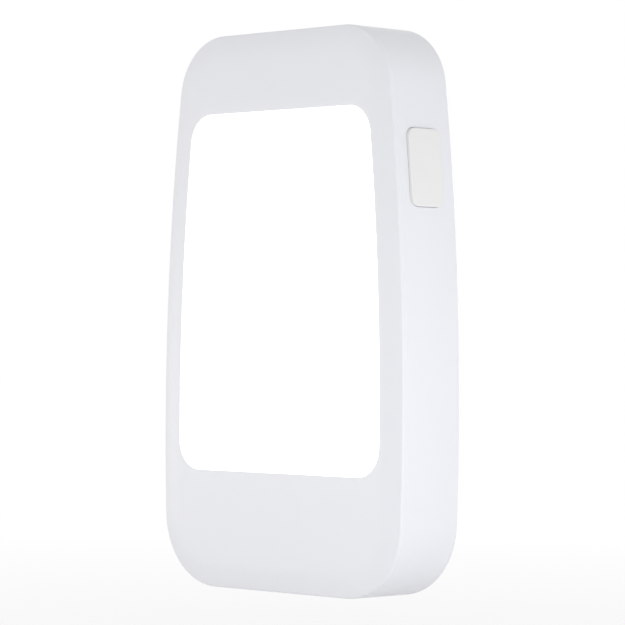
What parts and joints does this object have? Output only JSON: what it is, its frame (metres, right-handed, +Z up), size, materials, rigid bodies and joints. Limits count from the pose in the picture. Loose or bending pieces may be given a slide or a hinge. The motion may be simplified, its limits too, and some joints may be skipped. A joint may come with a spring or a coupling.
{
  "type": "plug in night light",
  "caption": "Flat plug in LED night light with a large opal window, a push button on its right side wall and flat plug blades.",
  "frame": {"origin": "on the wall plane, midway between the two plug blades", "axes": "+Z up, +Y into the wall along the blades, the front of the light toward -Y"},
  "size_m": [0.07, 0.0346, 0.115],
  "materials": {
    "white_shell": "fine satin",
    "opal_lens": "opal, satin",
    "button_plastic": "satin",
    "white_inner": "matte",
    "white_board": "solder mask",
    "led_phosphor": "gloss",
    "cream_plastic": "matte",
    "green_board": "solder mask",
    "red_film": "gloss",
    "black_sleeve": "gloss",
    "black_package": "matte",
    "green_resistor": "lacquered",
    "spring_steel": "bright",
    "nickel_brass": "polished",
    "zinc_screw": "zinc plated",
    "black_lead": "satin",
    "white_lead": "satin",
    "red_lead": "satin",
    "yellow_lead": "satin",
    "blue_lead": "satin"
  },
  "bodies": {
    "housing": {"rear_housing": "white_shell", "front_cover": "white_shell", "window_lens": "opal_lens", "reflector_frame": "white_inner", "led_board": "white_board", "leds": "led_phosphor", "led_connector": "cream_plastic", "driver_board": "green_board", "film_capacitor": "red_film", "electrolytic_capacitor": "black_sleeve", "bridge_rectifier": "black_package", "fusible_resistor": "green_resistor", "driver_chip": "black_package", "chip_resistors": "black_package", "switch_board": "green_board", "switch_base": "black_package", "switch_dome": "spring_steel", "switch_cover": "spring_steel", "plug_blade_live": "nickel_brass", "plug_blade_neutral": "nickel_brass", "blade_retainer": "white_inner", "retainer_screws": "zinc_screw", "case_screws": "zinc_screw", "live_lead": "black_lead", "neutral_lead": "white_lead", "led_lead_positive": "red_lead", "led_lead_negative": "black_lead", "switch_lead_signal": "yellow_lead", "switch_lead_return": "blue_lead"},
    "button": {"side_button": "button_plastic"},
    "plunger": {"switch_plunger": "black_package"}
  },
  "joints": [
    {"name": "button_press", "type": "slide", "parent": "housing", "child": "button", "axis": [-1, 0, 0], "range_m": [0, 0.00035], "stiffness_N_per_m": 200, "springref_m": -0.003},
    {"name": "plunger_press", "type": "slide", "parent": "housing", "child": "plunger", "axis": [-1, 0, 0], "range_m": [0, 0.00035]}
  ],
  "couplings": [
    {"joint": "plunger_press", "follows": "button_press", "ratio": 1}
  ]
}
